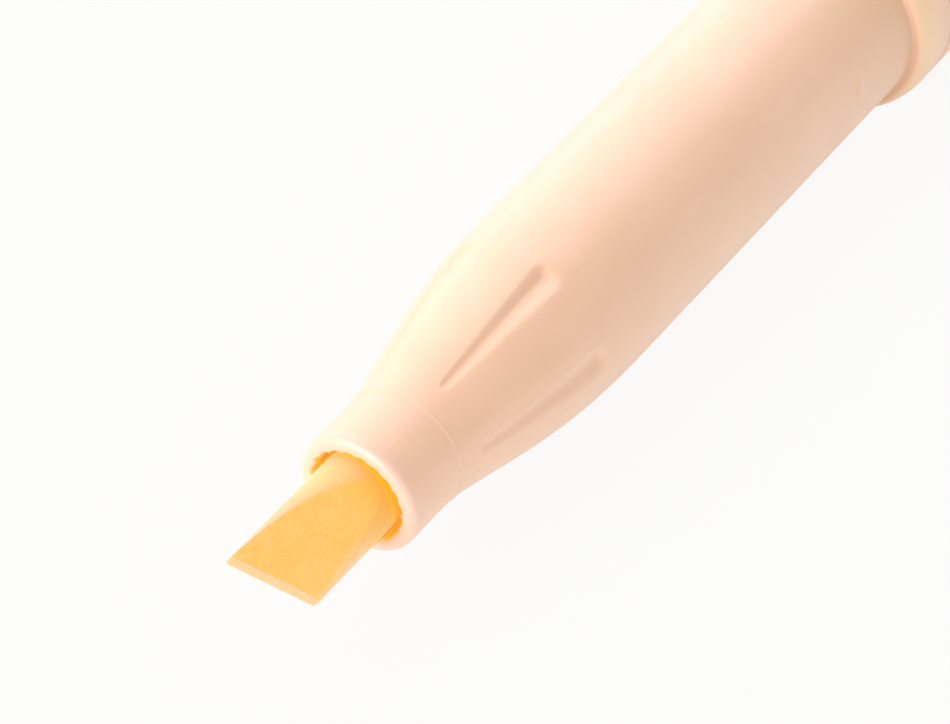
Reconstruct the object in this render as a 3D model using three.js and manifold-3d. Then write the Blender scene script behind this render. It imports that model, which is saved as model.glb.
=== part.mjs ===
// Erasable highlighter, uncapped, with its cap posted on the tail, lying on its side.
//
// Millimetres, +Z up. The pen's axis runs along +X, from the nib to the tail. A station is a distance
// along the axis behind the rim of the mouth. A depth is a distance into the cap from the cap's rim.
// A turn is an angle round the axis, in degrees, from +Y towards +Z.

import * as THREE from "three";
import { mergeVertices } from "three/addons/utils/BufferGeometryUtils.js";
import Module from "manifold-3d";

// Nib: a felt rod cut to a slanted chisel
const nibDiameter = 3.96;
const nibReach = 6.05; // from the rim to the middle of the writing edge
const nibEdgeThickness = 0.74;
const nibFlatSlope = 16; // degrees between each flat and the axis
const nibEdgeSlant = 21.7; // degrees between the writing edge and a square cut
const nibTurn = 121.3; // the way the upper flat faces
const nibTailLength = 23; // from the rim to the rod's rear end
const nibTailTaper = 4;
const nibTailDiameter = 2;

// Nozzle and mouth
const nozzleDiameter = 6.04;
const nozzleLength = 3.2;
const rimRound = 0.4;
const mouthDiameter = 4.62;
const mouthDepth = 3.2;
const mouthRibs = 20;
const mouthRibHeight = 0.1;
const witnessStation = 3.63; // fine raised line where two halves of the mould met
const witnessWidth = 0.16;
const witnessHeight = 0.05;

// Flare and the section that the cap covers
const flareLength = 15.8;
const flareOnset = 1.44; // how quickly the flare leaves the nozzle
const flareSettle = 3.53; // how gently it runs out into the section
const sectionDiameter = 9.55; // at the end of the flare
const sectionTaper = 0.16; // by how much the section is wider at the shoulder
const sectionWall = 0.8;
const shoulderStation = 40.7;
const shoulderRound = 0.35;
const collarLength = 2.6;
const spigotLength = 8;
const spigotWall = 0.65;
const edgeRound = 0.3; // on the spigots, the barrel's rear shoulder and the cap's rim

// Grooves in the flare: narrow and shallow in front, wide with a round end behind
const grooveCount = 6;
const grooveTurn = 110.3;
const grooveFrontStation = 5.15;
const grooveRearStation = 12.35;
const grooveFrontRadius = 0.28;
const grooveRearRadius = 0.61;
const grooveFrontLift = 0.21; // how far the round cutter's middle stands off the surface
const grooveRearLift = 0.35;

// Snap bumps in front of the shoulder
const bumpCount = 3;
const bumpTurn = 168.8;
const bumpToShoulder = 5.2;
const bumpLength = 0.65; // along the axis
const bumpWidth = 1.6; // round the axis
const bumpHeight = 0.14;

// Barrel
const barrelLength = 56; // behind the collar, up to the tail's shoulder
const barrelRibs = 6; // inside, along the bore
const barrelRibWidth = 0.8;
const tailLength = 18; // reduced end on which the cap is posted
const partingGap = 0.1; // fine line between two pieces that butt

// Reservoir
const reservoirFront = 16.3; // station of its front face
const filmThickness = 0.2;
const filmClearance = 0.05;
const reservoirClearance = 0.1;

// Tail plug
const plugHeadLength = 1.2;
const plugSpigotLength = 5.2;
const plugWall = 0.9;

// Cap and clip
const capWall = 0.66;
const capTaper = 0.8; // by how much the cap is narrower at its end
const capEndRound = 1;
const capBoreTaper = 0.22;
const snapRingHeight = 0.08; // ring inside the cap that passes the bumps
const snapRingWidth = 0.7;
const webThickness = 1.2; // between the inner cap and the eraser
const socketDepth = 5.5;
const clipWidth = 4.2;
const clipThickness = 1.45;
const clipLength = 42;
const clipGap = 1.6;
const clipSetBack = 2.2; // from the cap's end
const clipRootLength = 5;
const clipBallRadius = 1;
const clipEdgeRound = 0.3;

// Inner cap
const innerCapWall = 0.85;
const innerCapFlange = 0.8;
const innerCapRelief = 0.25; // by how much its chamber is wider than its seal
const innerCapSealLength = 3;
const nibHeadroom = 1.6; // past the nib's longest corner
const innerCapEndWall = 1.3;

// Eraser
const eraserDiameter = 7.2;
const eraserHeight = 3.6;
const eraserRound = 1.5;
const eraserStemDiameter = 5;
const eraserStemLength = 5.2;

// Fits
const pressClearance = 0.05; // pieces that are pressed together for good
const capClearance = 0.12; // cap's bore round the section
const postClearance = 0.2; // cap's bore round the tail
const capRestGap = 0.3; // posted cap's rim to the tail's shoulder
const capGap = 0.1; // between pieces seated end to end in the cap

const sides = 48; // facets round every turned piece
const roundSteps = 3; // facets along a quarter round
const flareSteps = 13;

// Sizes that follow from the driving ones
const rad = THREE.MathUtils.degToRad;
const nibRadius = nibDiameter / 2;
const slant = Math.tan(rad(nibEdgeSlant));
const nibLongestCorner = nibReach + slant * nibRadius;
const nozzleRadius = nozzleDiameter / 2;
const flareEnd = nozzleLength + flareLength;
const sectionRadius = sectionDiameter / 2;
const shoulderRadius = sectionRadius + sectionTaper / 2;
const seatRadius = sectionRadius - sectionWall; // bore that holds the reservoir
const capBoreRadius = shoulderRadius + capClearance;
const bodyRadius = capBoreRadius + capWall; // barrel and cap are flush when the pen is capped
const spigotRadius = seatRadius + spigotWall;
const barrelBoreRadius = spigotRadius + pressClearance;
const collarEnd = shoulderStation + collarLength;
const spigotEnd = collarEnd + spigotLength;
const tailShoulder = collarEnd + barrelLength;
const tailRadius = capBoreRadius - postClearance;
const tailEnd = tailShoulder + tailLength;
const filmRadius = seatRadius - reservoirClearance;
const coreRadius = filmRadius - filmThickness - filmClearance;
const plugShoulder = tailEnd - plugHeadLength;
const plugFront = plugShoulder - plugSpigotLength;
const reservoirEnd = plugFront - partingGap;

const innerCapMouth = shoulderStation - nozzleLength - innerCapFlange; // depth in the cap
const innerCapSeat = innerCapMouth + innerCapFlange;
const innerCapFloor = shoulderStation + nibLongestCorner + nibHeadroom;
const innerCapEnd = innerCapFloor + innerCapEndWall;
const sealRadius = nozzleRadius + pressClearance;
const chamberRadius = sealRadius + innerCapRelief;
const innerCapRadius = chamberRadius + innerCapWall;
const webStart = innerCapEnd + capGap;
const socketFloor = webStart + webThickness;
const capEnd = socketFloor + socketDepth;
const socketRadius = eraserStemDiameter / 2 + pressClearance;

/** The outside of the front section: nozzle, flare and slightly tapered section. */
function outerRadius(station) {
  if (station <= nozzleLength) return nozzleRadius;
  if (station >= flareEnd) {
    const along = (station - flareEnd) / (shoulderStation - flareEnd);
    return THREE.MathUtils.lerp(sectionRadius, shoulderRadius, along);
  }
  const along = (station - nozzleLength) / flareLength;
  const rise = 1 - (1 - along ** flareOnset) ** flareSettle;
  return THREE.MathUtils.lerp(nozzleRadius, sectionRadius, rise);
}

/** The cap's outside, a straight taper from its rim to its end. */
function capOuterRadius(depth) {
  return bodyRadius - ((capTaper / 2) * depth) / capEnd;
}

/** The bore that takes the section, a straight taper from the rim to the inner cap's seat. */
function capBoreAt(depth) {
  return capBoreRadius - ((capBoreTaper / 2) * depth) / innerCapSeat;
}

/** A quarter round of an edge, as [along, radius] pairs, from one angle to another round its centre. */
function quarter(along, radius, size, from, to) {
  return Array.from({ length: roundSteps + 1 }, (_, i) => {
    const angle = rad(THREE.MathUtils.lerp(from, to, i / roundSteps));
    return [along + size * Math.cos(angle), radius + size * Math.sin(angle)];
  });
}

const wasm = await Module();
wasm.setup();

/** A closed geometry as a solid that can be joined and cut. */
function solidOf(geometry) {
  const bare = geometry.clone();
  bare.deleteAttribute("normal");
  bare.deleteAttribute("uv");
  const merged = mergeVertices(bare, 1e-5);
  return new wasm.Manifold(
    new wasm.Mesh({
      numProp: 3,
      vertProperties: merged.attributes.position.array,
      triVerts: new Uint32Array(merged.index.array),
    }),
  );
}

/** A named mesh from a solid. */
function piece(name, solid, material) {
  const { vertProperties, triVerts } = solid.getMesh();
  const geometry = new THREE.BufferGeometry();
  geometry.setAttribute("position", new THREE.BufferAttribute(vertProperties, 3));
  geometry.setIndex(new THREE.BufferAttribute(triVerts, 1));
  geometry.computeVertexNormals();
  const mesh = new THREE.Mesh(geometry, material);
  mesh.name = name;
  return mesh;
}

/** A turned solid round the X axis. Outer faces of the [along, radius] profile run towards +X. */
function turned(profile) {
  const points = profile.map(([along, radius]) => new THREE.Vector2(radius, along));
  return solidOf(new THREE.LatheGeometry(points, sides).rotateZ(-Math.PI / 2));
}

/** Copies of a solid, evenly spaced round the X axis from a first turn. */
function around(count, firstTurn, make) {
  return Array.from({ length: count }, (_, i) =>
    make().rotate([firstTurn + (360 * i) / count, 0, 0]),
  );
}

/** Everything on the far side of a plane, as a large block that rests on the plane. */
function halfSpace(point, normal, reach) {
  const block = new THREE.BoxGeometry(reach, reach, reach).translate(0, reach / 2, 0);
  const turn = new THREE.Quaternion();
  turn.setFromUnitVectors(new THREE.Vector3(0, 1, 0), normal.clone().normalize());
  return solidOf(block.applyQuaternion(turn).translate(point.x, point.y, point.z));
}

function makeNib() {
  const rod = turned([
    [-2 * nibReach, 0],
    [-2 * nibReach, nibRadius],
    [nibTailLength - nibTailTaper, nibRadius],
    [nibTailLength, nibTailDiameter / 2],
    [nibTailLength, 0],
  ]);
  const slope = Math.tan(rad(nibFlatSlope));
  const reach = 6 * nibReach;
  const halfEdge = nibEdgeThickness / 2;
  const upper = new THREE.Vector3(-slope, 1, slope * slant);
  const lower = new THREE.Vector3(-slope, -1, slope * slant);
  return rod
    .subtract(halfSpace(new THREE.Vector3(-nibReach, halfEdge, 0), upper, reach))
    .subtract(halfSpace(new THREE.Vector3(-nibReach, -halfEdge, 0), lower, reach))
    .subtract(halfSpace(new THREE.Vector3(-nibReach, 0, 0), new THREE.Vector3(-1, 0, slant), reach))
    .rotate([nibTurn, 0, 0]);
}

/** The mouth's bore with its fine ribs: a scalloped outline, pushed in from the rim. */
function mouthCutter() {
  const count = mouthRibs * 6;
  const outline = Array.from({ length: count }, (_, i) => {
    const angle = (2 * Math.PI * i) / count;
    const scallop = Math.abs(Math.sin((mouthRibs / 2) * angle));
    const radius = mouthDiameter / 2 + mouthRibHeight * (scallop - 0.6);
    return new THREE.Vector2(radius * Math.cos(angle), radius * Math.sin(angle));
  });
  const depth = 2 * mouthDepth;
  const bore = new THREE.ExtrudeGeometry(new THREE.Shape(outline), { depth, bevelEnabled: false });
  return solidOf(bore.rotateY(Math.PI / 2).translate(mouthDepth - depth, 0, 0));
}

/** One groove: a tapered rod with round ends, laid along the flare. */
function grooveCutter() {
  const start = new THREE.Vector2(grooveFrontStation, outerRadius(grooveFrontStation) + grooveFrontLift);
  const end = new THREE.Vector2(grooveRearStation, outerRadius(grooveRearStation) + grooveRearLift);
  const length = start.distanceTo(end);
  const steps = 4;
  const profile = [];
  for (let i = 0; i <= steps; i++) {
    const angle = (Math.PI / 2) * (i / steps);
    profile.push([-grooveFrontRadius * Math.cos(angle), grooveFrontRadius * Math.sin(angle)]);
  }
  for (let i = 0; i <= steps; i++) {
    const angle = (Math.PI / 2) * (1 - i / steps);
    profile.push([length + grooveRearRadius * Math.cos(angle), grooveRearRadius * Math.sin(angle)]);
  }
  const points = profile.map(([along, radius]) => new THREE.Vector2(Math.max(radius, 0), along));
  const rod = new THREE.LatheGeometry(points, sides / 3).rotateZ(-Math.PI / 2);
  return solidOf(rod.rotateZ(end.clone().sub(start).angle()).translate(start.x, start.y, 0));
}

/** One snap bump: a low oval on the section's surface. */
function bump() {
  const station = shoulderStation - bumpToShoulder;
  const oval = new THREE.SphereGeometry(0.5, 12, 8).scale(bumpLength, 3 * bumpHeight, bumpWidth);
  return solidOf(oval.translate(station, outerRadius(station) - bumpHeight / 2, 0));
}

function makeFrontSection() {
  const nibBore = nibRadius + pressClearance;
  const pocketFront = reservoirFront - partingGap;
  const funnelLength = seatRadius - sectionWall - nibBore;
  const flare = Array.from({ length: flareSteps + 1 }, (_, i) => {
    const station = nozzleLength + (flareLength * i) / flareSteps;
    return [station, outerRadius(station)];
  });
  const witness = [-1 / 2, -1 / 6, 1 / 6, 1 / 2].map((share) => {
    const station = witnessStation + share * witnessWidth;
    return [station, outerRadius(station) + (Math.abs(share) < 1 / 2 ? witnessHeight : 0)];
  });
  const outside = [...flare, ...witness].sort((first, second) => first[0] - second[0]);
  const body = turned([
    [0, nibBore],
    ...quarter(rimRound, nozzleRadius - rimRound, rimRound, 180, 90),
    ...outside,
    [shoulderStation, shoulderRadius],
    ...quarter(shoulderStation + shoulderRound, bodyRadius - shoulderRound, shoulderRound, 180, 90),
    [collarEnd, bodyRadius],
    [collarEnd, spigotRadius],
    [spigotEnd - edgeRound, spigotRadius],
    [spigotEnd, spigotRadius - edgeRound],
    [spigotEnd, seatRadius],
    [pocketFront, seatRadius],
    [pocketFront, seatRadius - sectionWall],
    [pocketFront - funnelLength, nibBore],
    [0, nibBore],
  ]);
  const cutters = [mouthCutter(), ...around(grooveCount, grooveTurn, grooveCutter)];
  const bumps = around(bumpCount, bumpTurn, bump);
  return wasm.Manifold.union([body, ...bumps]).subtract(wasm.Manifold.union(cutters));
}

function makeBarrelTube() {
  const start = collarEnd + partingGap;
  const end = plugShoulder - partingGap;
  const boreEnd = tailShoulder - (bodyRadius - tailRadius);
  const tube = turned([
    [start, barrelBoreRadius],
    [start, bodyRadius],
    ...quarter(tailShoulder - edgeRound, bodyRadius - edgeRound, edgeRound, 90, 0),
    [tailShoulder, tailRadius],
    [end, tailRadius],
    [end, seatRadius],
    [boreEnd + (barrelBoreRadius - seatRadius), seatRadius],
    [boreEnd, barrelBoreRadius],
    [start, barrelBoreRadius],
  ]);
  const ribStart = spigotEnd + partingGap;
  const depth = (bodyRadius + barrelBoreRadius) / 2 - seatRadius;
  const rib = () =>
    solidOf(
      new THREE.BoxGeometry(boreEnd + depth / 2 - ribStart, depth, barrelRibWidth).translate(
        (boreEnd + depth / 2 + ribStart) / 2,
        seatRadius + depth / 2,
        0,
      ),
    );
  return wasm.Manifold.union([tube, ...around(barrelRibs, grooveTurn, rib)]);
}

function makeReservoirCore() {
  const clear = reservoirClearance;
  return turned([
    [nibTailLength + clear, 0],
    [nibTailLength + clear, nibTailDiameter / 2 + clear],
    [nibTailLength - nibTailTaper + clear, nibRadius + clear],
    [reservoirFront, nibRadius + clear],
    [reservoirFront, coreRadius],
    [reservoirEnd, coreRadius],
    [reservoirEnd, 0],
  ]);
}

function makeReservoirFilm() {
  return turned([
    [reservoirFront, filmRadius - filmThickness],
    [reservoirFront, filmRadius],
    [reservoirEnd, filmRadius],
    [reservoirEnd, filmRadius - filmThickness],
    [reservoirFront, filmRadius - filmThickness],
  ]);
}

function makeTailPlug() {
  const spigot = seatRadius - pressClearance;
  return turned([
    [plugShoulder, 0],
    [plugShoulder, spigot - plugWall],
    [plugFront, spigot - plugWall],
    [plugFront, spigot - edgeRound],
    [plugFront + edgeRound, spigot],
    [plugShoulder, spigot],
    [plugShoulder, tailRadius],
    ...quarter(tailEnd - 2 * edgeRound, tailRadius - 2 * edgeRound, 2 * edgeRound, 90, 0),
    [tailEnd, 0],
  ]);
}

/** The clip's side view: a root at the cap's end, a straight arm and a ball that faces the cap. */
function clipOutline() {
  const rootEnd = capEnd - clipSetBack;
  const rootStart = rootEnd - clipRootLength;
  const tip = rootEnd - clipLength;
  const inner = bodyRadius + clipGap;
  const outer = inner + clipThickness;
  const foot = capOuterRadius(rootEnd) - capWall / 2;
  const ball = tip + clipThickness / 2 + clipBallRadius;
  const shape = new THREE.Shape();
  shape.moveTo(rootEnd, foot);
  shape.lineTo(rootEnd, inner);
  shape.absarc(rootEnd - clipThickness, inner, clipThickness, 0, Math.PI / 2, false);
  shape.lineTo(tip + clipThickness / 2, outer);
  shape.absarc(tip + clipThickness / 2, (inner + outer) / 2, clipThickness / 2, Math.PI / 2, (3 * Math.PI) / 2, false);
  shape.lineTo(ball - clipBallRadius, inner);
  shape.absarc(ball, inner, clipBallRadius, Math.PI, 2 * Math.PI, false);
  shape.lineTo(rootStart - clipGap, inner);
  shape.quadraticCurveTo(rootStart, inner, rootStart, capOuterRadius(rootStart));
  shape.lineTo(rootStart, foot);
  shape.closePath();
  return shape;
}

/** The turn at which the clip's corner and the barrel both touch a flat surface below. */
function clipTurn() {
  const reach = bodyRadius + clipGap + clipThickness - clipEdgeRound;
  const half = clipWidth / 2 - clipEdgeRound;
  const drop = Math.asin((bodyRadius - clipEdgeRound) / Math.hypot(reach, half)) - Math.atan2(half, reach);
  return 180 + THREE.MathUtils.radToDeg(drop);
}

function makeCapShell() {
  const ring = bumpToShoulder + bumpLength / 2 + snapRingWidth;
  const shell = turned([
    [webStart, 0],
    [webStart, innerCapRadius + pressClearance],
    [innerCapSeat + pressClearance, innerCapRadius + pressClearance],
    [innerCapSeat + pressClearance, capBoreAt(innerCapSeat)],
    [ring + snapRingWidth / 2, capBoreAt(ring + snapRingWidth / 2)],
    [ring, capBoreAt(ring) - snapRingHeight],
    [ring - snapRingWidth / 2, capBoreAt(ring - snapRingWidth / 2)],
    [edgeRound, capBoreAt(edgeRound)],
    [0, capBoreRadius + edgeRound / 2],
    ...quarter(edgeRound / 2, bodyRadius - edgeRound / 2, edgeRound / 2, 180, 90),
    ...quarter(capEnd - capEndRound, capOuterRadius(capEnd) - capEndRound, capEndRound, 90, 0),
    [capEnd, socketRadius],
    [socketFloor, socketRadius],
    [socketFloor, 0],
  ]);
  const clip = new THREE.ExtrudeGeometry(clipOutline(), {
    depth: clipWidth - 2 * clipEdgeRound,
    curveSegments: 6,
    bevelThickness: clipEdgeRound,
    bevelSize: clipEdgeRound,
    bevelOffset: -clipEdgeRound,
    bevelSegments: 2,
  }).translate(0, 0, clipEdgeRound - clipWidth / 2);
  return shell.add(solidOf(clip).rotate([clipTurn(), 0, 0]));
}

function makeInnerCap() {
  const sealEnd = innerCapSeat + innerCapSealLength;
  return turned([
    [innerCapFloor, 0],
    [innerCapFloor, chamberRadius],
    [sealEnd + innerCapRelief, chamberRadius],
    [sealEnd, sealRadius],
    [innerCapSeat, sealRadius],
    [innerCapMouth, sealRadius + innerCapFlange],
    [innerCapMouth, capBoreAt(innerCapMouth) - 2 * pressClearance],
    [innerCapSeat, capBoreAt(innerCapSeat) - 2 * pressClearance],
    [innerCapSeat, innerCapRadius],
    [innerCapEnd, innerCapRadius],
    [innerCapEnd, 0],
  ]);
}

function makeEraser() {
  const start = capEnd + capGap;
  const top = start + eraserHeight;
  return turned([
    [start - eraserStemLength, 0],
    [start - eraserStemLength, eraserStemDiameter / 2 - edgeRound],
    [start - eraserStemLength + edgeRound, eraserStemDiameter / 2],
    [start, eraserStemDiameter / 2],
    [start, eraserDiameter / 2],
    ...quarter(top - eraserRound, eraserDiameter / 2 - eraserRound, eraserRound, 90, 0),
    [top, 0],
  ]);
}

const finish = (color, roughness) => new THREE.MeshStandardMaterial({ color, roughness, metalness: 0 });

const barrel = new THREE.Group();
barrel.add(
  piece("nib", makeNib(), finish(0xfdc76b, 0.85)),
  piece("front_section", makeFrontSection(), finish(0xf4cdaa, 0.35)),
  piece("barrel_tube", makeBarrelTube(), finish(0xf4cdaa, 0.35)),
  piece("reservoir_core", makeReservoirCore(), finish(0xffb347, 0.9)),
  piece("reservoir_film", makeReservoirFilm(), finish(0xf2efe6, 0.3)),
  piece("tail_plug", makeTailPlug(), finish(0xf4cdaa, 0.35)),
);

const cap = new THREE.Group();
cap.add(
  piece("cap_shell", makeCapShell(), finish(0xf4cdaa, 0.3)),
  piece("inner_cap", makeInnerCap(), finish(0xf5f1e8, 0.45)),
  piece("eraser", makeEraser(), finish(0xf3e3d0, 0.6)),
);
cap.position.x = tailShoulder + capRestGap;

const pen = new THREE.Group();
pen.add(barrel, cap);

// The origin is under the middle of the pen, on the surface it lies on.
const box = new THREE.Box3().setFromObject(pen);
const middle = box.getCenter(new THREE.Vector3());
pen.position.set(-middle.x, -middle.y, -box.min.z);

export default pen;
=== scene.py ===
"""The looks of an erasable highlighter: nib, fluted nose, barrel, posted cap with clip, and eraser.

Every length in the classes is in millimetres, in the pen's own measures: a station is a distance along
the axis behind the mouth's rim, a depth is a distance into the cap from its rim, and a turn is an angle
round the axis, in degrees, from +Y towards +Z. Meshes are written in metres, in the frame's own axes.
"""

import logging
import math
from dataclasses import dataclass
from enum import Enum

import bpy
import numpy as np
from mathutils import Matrix, Vector


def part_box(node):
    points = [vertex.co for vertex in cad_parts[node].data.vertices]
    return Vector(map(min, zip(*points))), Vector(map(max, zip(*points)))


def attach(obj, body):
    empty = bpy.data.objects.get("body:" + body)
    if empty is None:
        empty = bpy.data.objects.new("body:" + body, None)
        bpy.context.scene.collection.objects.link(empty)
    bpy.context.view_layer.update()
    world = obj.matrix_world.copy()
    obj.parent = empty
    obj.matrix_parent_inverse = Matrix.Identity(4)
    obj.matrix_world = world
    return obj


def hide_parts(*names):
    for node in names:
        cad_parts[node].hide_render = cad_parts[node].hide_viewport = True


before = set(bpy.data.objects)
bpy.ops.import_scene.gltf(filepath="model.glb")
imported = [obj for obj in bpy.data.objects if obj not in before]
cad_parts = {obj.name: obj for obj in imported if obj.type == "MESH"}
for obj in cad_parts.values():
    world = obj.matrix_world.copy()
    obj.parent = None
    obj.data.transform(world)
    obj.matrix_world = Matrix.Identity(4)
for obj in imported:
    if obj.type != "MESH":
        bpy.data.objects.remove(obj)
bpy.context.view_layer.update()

MM = 0.001
LOG = logging.getLogger("highlighter")

Triple = tuple[float, float, float]


class Body(Enum):
    """The rigid bodies that pieces ride on."""

    BARREL = "barrel"
    CAP = "cap"


class Slot(Enum):
    """The record's material slots meant for new pieces; settle is given one but does not use it.

    A node that keeps its shape keeps its slot.
    """

    FELT = "nib_felt"
    BODY = "body_plastic"
    CAP = "cap_plastic"
    RUBBER = "eraser_rubber"


def linear(red: float, green: float, blue: float) -> tuple[float, float, float, float]:
    """Turns a display colour, 0 to 255 a channel, into the linear colour that a shader takes.

    Args:
        red, green, blue: the display colour.

    Returns:
        Linear red, green, blue and an alpha of 1.
    """
    channels = np.array([red, green, blue]) / 255
    low, high = channels / 12.92, ((channels + 0.055) / 1.055) ** 2.4
    return (*np.where(channels <= 0.04045, low, high).tolist(), 1.0)


class Value:
    """A number socket that takes part in arithmetic: each operator adds its Math node."""

    def __init__(self, graph: "Graph", socket: bpy.types.NodeSocket) -> None:
        """Wraps one output socket of a graph."""
        self.graph, self.socket = graph, socket

    def _math(self, operation: str, *terms: "Value | float") -> "Value":
        """Adds a Math node on some terms."""
        return self.graph.node("ShaderNodeMath", {"operation": operation}, dict(enumerate(terms)))

    def __add__(self, other: "Value | float") -> "Value":
        """Sum."""
        return self._math("ADD", self, other)

    def __radd__(self, other: float) -> "Value":
        """Sum with a number on the left."""
        return self._math("ADD", other, self)

    def __sub__(self, other: "Value | float") -> "Value":
        """Difference."""
        return self._math("SUBTRACT", self, other)

    def __rsub__(self, other: float) -> "Value":
        """Difference with a number on the left."""
        return self._math("SUBTRACT", other, self)

    def __mul__(self, other: "Value | float") -> "Value":
        """Product."""
        return self._math("MULTIPLY", self, other)

    def __rmul__(self, other: float) -> "Value":
        """Product with a number on the left."""
        return self._math("MULTIPLY", other, self)

    def __truediv__(self, other: "Value | float") -> "Value":
        """Quotient."""
        return self._math("DIVIDE", self, other)

    def __rtruediv__(self, other: float) -> "Value":
        """Quotient with a number on top."""
        return self._math("DIVIDE", other, self)

    def __pow__(self, other: float) -> "Value":
        """Power."""
        return self._math("POWER", self, other)

    def step(self, start: float, end: float) -> "Value":
        """A smooth step: 0 where this value is at start, 1 where it is at end, and held outside them.

        Args:
            start: the value that gives 0.
            end: the value that gives 1; it may be the lower one.

        Returns:
            The stepped value.
        """
        flip = end < start
        settings = {"interpolation_type": "SMOOTHSTEP"}
        sockets = {0: self, 1: min(start, end), 2: max(start, end), 3: 1.0 * flip, 4: 1.0 - flip}
        return self.graph.node("ShaderNodeMapRange", settings, sockets)


class Graph:
    """The node tree of a material or a world, built up from its coordinates to its surface."""

    def __init__(self, name: str, owner: bpy.types.World | None = None) -> None:
        """Makes an empty material, or takes a world and clears its nodes.

        Args:
            name: the new material's name.
            owner: the world, if it is one.
        """
        self.material = owner or bpy.data.materials.new(name)
        self.material.use_nodes = True
        self.tree = self.material.node_tree
        self.tree.nodes.clear()

    def node(self, kind: str, settings: dict, sockets: dict, output: int | str = 0) -> Value:
        """Adds a node: its settings first, then the values or links of its sockets.

        Args:
            kind: the node's type.
            settings: attributes of the node, by name.
            sockets: input name or number to a number, a colour or a Value.
            output: the output socket that is wanted.

        Returns:
            That output as a Value.
        """
        made = self.tree.nodes.new(kind)
        for key, setting in settings.items():
            setattr(made, key, setting)
        for key, given in sockets.items():
            if isinstance(given, Value):
                self.tree.links.new(given.socket, made.inputs[key])
            else:
                made.inputs[key].default_value = given
        return Value(self, made.outputs[output])

    def mix(self, factor: Value | float, first: Value | Triple, second: Value | Triple) -> Value:
        """Mixes two colours.

        Args:
            factor: share of the second colour.
            first, second: the colours, each a Value or a display colour.

        Returns:
            The mixed colour.
        """
        first, second = (given if isinstance(given, Value) else linear(*given) for given in (first, second))
        settings = {"data_type": "RGBA", "clamp_factor": True}
        return self.node("ShaderNodeMix", settings, {0: factor, 6: first, 7: second}, 2)

    def noise(self, place: Value, scale: float, detail: float = 2.0) -> Value:
        """Fractal noise about 0.5 on a place in millimetres; scale is in cells per millimetre."""
        sockets = {"Vector": place, "Scale": scale, "Detail": detail, "Roughness": 0.55}
        return self.node("ShaderNodeTexNoise", {"normalize": True}, sockets)

    def strands(self, place: Value, squeeze: float, scale: float, detail: float) -> Value:
        """Fractal noise drawn out along the pen, because it sees only the squeeze's share of X."""
        squeezed = self.node("ShaderNodeMapping", {}, {"Vector": place, "Scale": (squeeze, 1.0, 1.0)})
        return self.noise(squeezed, scale, detail)

    def axis(self, place: Value, name: str) -> Value:
        """One part of a place: "X", "Y" or "Z"."""
        return self.node("ShaderNodeSeparateXYZ", {}, {"Vector": place}, name)

    def dot(self, place: Value, weights: Triple) -> Value:
        """The sum of a place's parts, each times its weight."""
        settings = {"operation": "DOT_PRODUCT"}
        return self.node("ShaderNodeVectorMath", settings, {0: place, 1: weights}, "Value")

    def ray(self, kind: str) -> Value:
        """1 for rays of a kind, such as "Is Camera Ray", and 0 for all others."""
        return self.node("ShaderNodeLightPath", {}, {}, kind)

    def bump(self, height: Value, distance: float) -> Value:
        """A bump from a height of 0 to 1, that many millimetres high."""
        return self.node("ShaderNodeBump", {}, {"Height": height, "Strength": 1.0, "Distance": distance * MM})

    def finish(self, **sockets: object) -> bpy.types.Material:
        """Gives the material a Principled surface, with the inputs' spaces written as underscores."""
        named = {key.replace("_", " "): given for key, given in sockets.items()}
        return self.surface(self.node("ShaderNodeBsdfPrincipled", {}, named))

    def surface(self, shader: Value) -> bpy.types.Material:
        """Links a shader to the output, and gives the material.

        Args:
            shader: the surface, or the world's background.

        Returns:
            The finished material, or the world.
        """
        world = isinstance(self.material, bpy.types.World)
        output = self.tree.nodes.new("ShaderNodeOutputWorld" if world else "ShaderNodeOutputMaterial")
        self.tree.links.new(shader.socket, output.inputs["Surface"])
        return self.material


@dataclass(frozen=True)
class Place:
    """Where the pen lies: the rim's middle, in the frame's metres."""

    rim: Vector

    @classmethod
    def read(cls) -> "Place":
        """Reads the rim's middle from the front section's box."""
        low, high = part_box("front_section")
        return cls(Vector((low.x, (low.y + high.y) / 2, (low.z + high.z) / 2)))

    def points(self, along: np.ndarray, radius: np.ndarray, turn: np.ndarray) -> np.ndarray:
        """Points in metres from pen measures.

        Formula: x = rim + along, y = rim + radius cos(turn), z = rim + radius sin(turn).

        Args:
            along: millimetres behind the rim.
            radius: millimetres from the axis.
            turn: radians round the axis from +Y towards +Z.

        Returns:
            An array with a last axis of 3.
        """
        parts = np.broadcast_arrays(along, radius * np.cos(turn), radius * np.sin(turn))
        return np.stack(parts, axis=-1) * MM + np.array(self.rim)

    def pen_measures(self, graph: Graph) -> Value:
        """Object coordinates as millimetres from the rim's middle, with X along the pen.

        Args:
            graph: the material's graph.

        Returns:
            The place.
        """
        here = graph.node("ShaderNodeTexCoord", {}, {}, "Object")
        back = tuple(-c / MM for c in self.rim)
        sockets = {"Vector": here, "Location": back, "Scale": (1 / MM,) * 3}
        return graph.node("ShaderNodeMapping", {"vector_type": "POINT"}, sockets)


PEN = Place.read()


def smooth(low: float, high: float, x: np.ndarray) -> np.ndarray:
    """A cubic step, 3u^2 - 2u^3 on u from low to high, held at 0 and 1 outside them."""
    u = np.clip((x - low) / (high - low), 0, 1)
    return u * u * (3 - 2 * u)


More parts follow.
